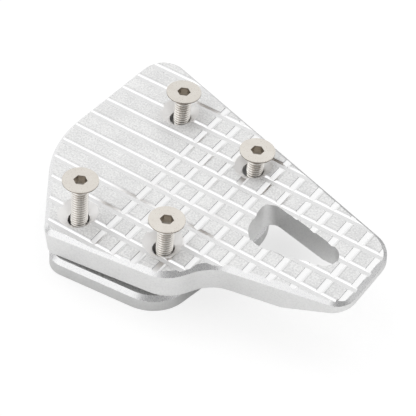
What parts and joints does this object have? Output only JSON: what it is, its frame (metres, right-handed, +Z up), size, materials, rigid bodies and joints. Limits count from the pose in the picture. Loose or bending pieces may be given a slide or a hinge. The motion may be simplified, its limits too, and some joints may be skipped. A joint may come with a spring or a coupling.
{
  "type": "brake pedal extension",
  "caption": "Grooved tread plate with a windowed arm, held over a thinner clamp plate by countersunk screws, to widen a motorbike's brake pedal.",
  "frame": {"origin": "middle of the four-screw pattern on the clamp plate's underside", "axes": "+X along the longer side, towards the tip of the windowed arm; +Y towards the back, where the gap between the plates opens; +Z up, along the screws"},
  "size_m": [0.0834, 0.0611, 0.0222],
  "materials": {
    "tread_plate_metal": "fine bead blast, with bright machined chamfers and grooves",
    "clamp_plate_metal": "fine bead blast",
    "screw_metal": "plain stainless steel"
  },
  "bodies": {
    "root": {"top_plate": "tread_plate_metal", "clamp_plate": "clamp_plate_metal", "countersunk_screws": "screw_metal"}
  },
  "joints": []
}
